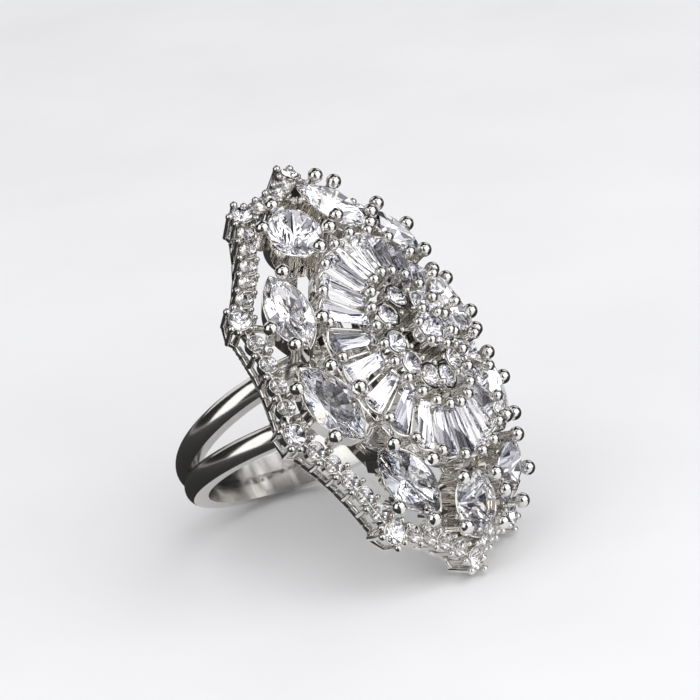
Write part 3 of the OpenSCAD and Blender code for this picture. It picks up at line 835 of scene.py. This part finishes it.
def cluster_beads():
    """A small bead inside and a larger one outside each gap between the cluster's stones."""
    inner, outer = ball_prong("cluster_inner_bead"), ball_prong("cluster_outer_bead")
    placed = []
    for angle, following in zip(CLUSTER_ANGLES, CLUSTER_ANGLES[1:] + CLUSTER_ANGLES[:1]):
        gap = (following - angle) % 360
        t = radians(angle + gap / 2)
        for bead, part in ((inner, INNER_BEADS_AT), (outer, OUTER_BEADS_AT)):
            placed.append((bead, shift(part * CLUSTER_A * cos(t), part * CLUSTER_B * sin(t), CLUSTER_H)))
    return copies("cluster_beads", placed)


def centre_setting():
    """The raised cup of the centre stone, and the ball prongs round it."""
    r = CENTRE_D / 2
    cup = tube(r + SEAT_GAP, r + CENTRE_WALL, CENTRE_FOOT, CENTRE_H, sides=48)
    prong = ball_prong("centre_prong")
    placed = [(prong, turn("Z", angle) @ shift(CENTRE_PRONG_OUT, 0, 0)) for angle in CENTRE_PRONG_ANGLES]
    return copies("centre_setting", [(cup, Matrix.Identity(4)), *placed])


def oval_rail(a, b, width, low, high):
    """A flat oval rail, with softened edges."""
    inner_a, inner_b = a - width / 2, b - width / 2
    outer_a, outer_b = a + width / 2, b + width / 2
    bpy.ops.mesh.primitive_circle_add(vertices=96, radius=1)
    rail = new_piece("rail")
    edit(rail)
    bpy.ops.transform.resize(value=(inner_a, inner_b, 1))
    bpy.ops.transform.translate(value=(0, 0, low))
    bpy.ops.mesh.extrude_edges_move()
    bpy.ops.transform.resize(value=(outer_a / inner_a, outer_b / inner_b, 1), center_override=(0, 0, low))
    leave()
    edit(rail, "FACE")
    bpy.ops.mesh.extrude_region_move(TRANSFORM_OT_translate={"value": (0, 0, high - low)})
    leave()
    clean(rail)
    return soften(rail, RAIL_EDGE, angle=40)


def under_frame():
    """Rails, beams, runners and pillars under the head, and the struts to the border and the baguettes."""
    parts = [oval_rail(*rail) for rail in OVAL_RAILS]
    for s in (-1, 1):
        u, v = s * BEAM_U, s * RUNNER_V
        parts.append(rod((u, -RAIL_B, BEAM_Z), (u, RAIL_B, BEAM_Z), *BEAM))
        parts.append(rod((-RAIL_A, v, RUNNER_Z), (RAIL_A, v, RUNNER_Z), *RUNNER))
        for across in (-RUNNER_V, RUNNER_V):
            parts.append(rod((u, across, PILLAR_LOW), (u, across, PILLAR_HIGH), *PILLAR))
    for i in range(len(CORNERS)):
        u, v, n = corner_place(i)
        t = atan2(v / RAIL_B, u / RAIL_A)
        start = (RAIL_A * cos(t), RAIL_B * sin(t), CORNER_STRUT_Z)
        end = (CORNER_STRUT_REACH * u, CORNER_STRUT_REACH * v, n - CORNER_STRUT_DROP)
        parts.append(rod(start, end, *STRUT))
    for k in range(0, BAGUETTE_COUNT, 2):
        t = baguette_angle(k + 0.5)
        start = (TIER_STRUT_A * cos(t), TIER_STRUT_B * sin(t), TIER_STRUT_HIGH)
        parts.append(rod(start, (RAIL_A * cos(t), RAIL_B * sin(t), TIER_STRUT_LOW), *STRUT))
    return joined("under_frame", parts)


# Studio


def photographer():
    """The camera of the photograph, seen from the front and a little above."""
    camera = bpy.data.cameras.new("camera")
    camera.angle = radians(LENS_ANGLE)
    camera.clip_start, camera.clip_end = CAMERA_REACH
    holder = bpy.data.objects.new("camera", camera)
    bpy.context.collection.objects.link(holder)
    holder.location = CAMERA_PLACE
    holder.rotation_euler = [radians(angle) for angle in CAMERA_TURN]
    scene = bpy.context.scene
    scene.camera = holder
    scene.view_settings.view_transform = "Standard"
    scene.cycles.glossy_bounces = MIRROR_BOUNCES


def pale_floor():
    bpy.ops.object.select_all(action="DESELECT")
    bpy.ops.mesh.primitive_plane_add(size=FLOOR_SIZE)
    floor = new_piece("floor")
    edit(floor)
    bpy.ops.mesh.subdivide(number_cuts=3)
    leave()
    floor.data.materials.append(floor_finish())


def air():
    """Dark over a grey horizon in mirrors, white with dark cards through stones, and even on dull things."""
    world = bpy.data.worlds.new("studio")
    bpy.context.scene.world = world
    shader = Shader(world, "Background")
    direction = shader.add("TexCoord", out="Generated")
    height = shader.add("SeparateXYZ", {}, direction, out="Z")
    mirrored = shader.add("ValToRGB", {"stops": HORIZON}, height)
    cloud = shader.add("TexNoise", Vector=direction, Scale=CARD_SCALE, Detail=0)
    cards = shader.add("ValToRGB", {"stops": CARDS}, cloud)
    through = shader.add("LightPath", out="Is Transmission Ray")
    dull = shader.add("LightPath", out="Is Diffuse Ray")
    clear = shader.add("Mix", {"data_type": "RGBA"}, through, mirrored, cards)
    shader.feed("Color", shader.add("Mix", {"data_type": "RGBA"}, dull, clear, SHED))


def dark_flag():
    """A flat ring just over the floor that mirror reflections alone see, left open on the right."""
    bpy.ops.mesh.primitive_circle_add(vertices=64, radius=FLAG_OUTER, fill_type="NGON",
                                      location=(0, 0, FLAG_LIFT))
    flag = new_piece("dark_flag")
    edit(flag, "FACE")
    bpy.ops.mesh.inset(thickness=FLAG_OUTER - FLAG_INNER)
    bpy.ops.mesh.delete(type="FACE")
    first, last = FLAG_OPEN
    pick(flag, "FACE", lambda face: first < degrees(atan2(face.center.x, -face.center.y)) < last)
    bpy.ops.mesh.delete(type="FACE")
    leave()
    apply_place()
    cloth = new_finish("dark_cloth", Base_Color=FLAG_COLOUR, Roughness=0.9)
    flag.data.materials.append(cloth.owner)
    flag.visible_camera = flag.visible_diffuse = flag.visible_shadow = flag.visible_transmission = False


def soft_boxes():
    for name, radiance, width, height, azimuth, elevation, distance in LAMPS:
        lamp = bpy.data.lights.new(name, "AREA")
        lamp.shape, lamp.size, lamp.size_y = "RECTANGLE", width, height
        lamp.energy = radiance * pi * width * height
        holder = bpy.data.objects.new(name, lamp)
        bpy.context.collection.objects.link(holder)
        a, e = radians(azimuth), radians(elevation)
        place = Vector((sin(a) * cos(e), -cos(a) * cos(e), sin(e))) * distance
        holder.location = place + LAMP_AIM
        holder.rotation_euler = (-place).to_track_quat("-Z", "Y").to_euler()


photographer()
pale_floor()
air()
dark_flag()
soft_boxes()

metal = polished_metal("mirror_polish", MIRROR_BLUR)
worn_metal = polished_metal("worn_polish", WORN_BLUR)
brilliant_stone = cut_stone("brilliant_stone", BRILLIANT_PAINTED_SPARKLE)
step_stone = cut_stone("step_stone", STEP_PAINTED_SPARKLE)
for name, node in NODES.items():
    stone = step_stone if name.startswith("baguette") else brilliant_stone
    node.data.materials.clear()
    node.data.materials.append(metal if name == "ring_mount" else stone)

finished(shank(), worn_metal)
for make in (border_collets, border_beads, border_rails, marquise_baskets, marquise_prongs, baguette_walls,
             baguette_rims, baguette_prongs, cluster_collets, cluster_beads, centre_setting, under_frame):
    finished(make(), metal)
